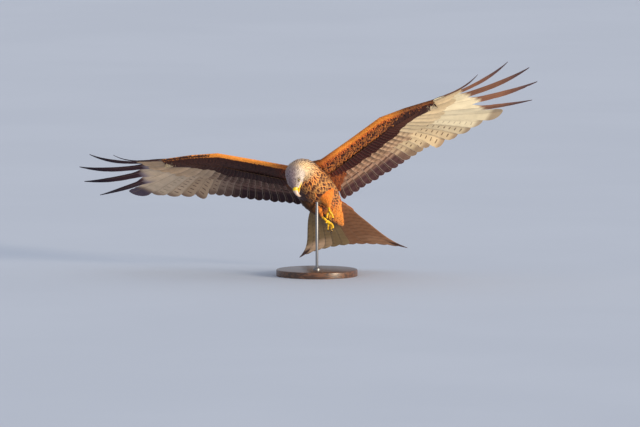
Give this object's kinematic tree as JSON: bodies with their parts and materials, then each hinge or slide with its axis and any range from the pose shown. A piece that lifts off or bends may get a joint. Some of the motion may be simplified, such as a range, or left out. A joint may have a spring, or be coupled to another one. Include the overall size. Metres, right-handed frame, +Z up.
{
  "type": "red kite",
  "caption": "Life-size still model of a red kite banking in flight, wings spread and head turned down, held by a round wooden base and a steel rod.",
  "frame": {"origin": "centre of the stand base's flat underside", "axes": "+Z up, +X towards the bird's left wing tip, which is the raised one, +Y away from the side that the bird looks towards"},
  "size_m": [1.6884, 0.5871, 0.8066],
  "materials": {
    "plumage": "soft feather barbs, matt",
    "head_plumage": "soft feather barbs, matt",
    "flight_feathers": "smooth feather vanes, faint satin",
    "tail_feathers": "smooth feather vanes, faint satin",
    "yellow_skin": "smooth waxy skin of the cere and feet",
    "horn": "polished horn of the bill tip and claws",
    "eye": "wet and clear",
    "stand_wood": "dark stain, satin varnish",
    "stand_steel": "brushed"
  },
  "bodies": {
    "root": {"torso": "plumage", "neck": "plumage", "head": "head_plumage", "eye_left": "eye", "eye_right": "eye", "bill_upper": "yellow_skin", "bill_lower": "yellow_skin", "wing_left": "flight_feathers", "wing_right": "flight_feathers", "tail": "tail_feathers", "leg_left": "plumage", "leg_right": "plumage", "foot_left": "yellow_skin", "foot_right": "yellow_skin", "claw_left_1": "horn", "claw_left_2": "horn", "claw_left_3": "horn", "claw_left_4": "horn", "claw_right_1": "horn", "claw_right_2": "horn", "claw_right_3": "horn", "claw_right_4": "horn", "stand_base": "stand_wood", "stand_rod": "stand_steel"}
  },
  "joints": []
}
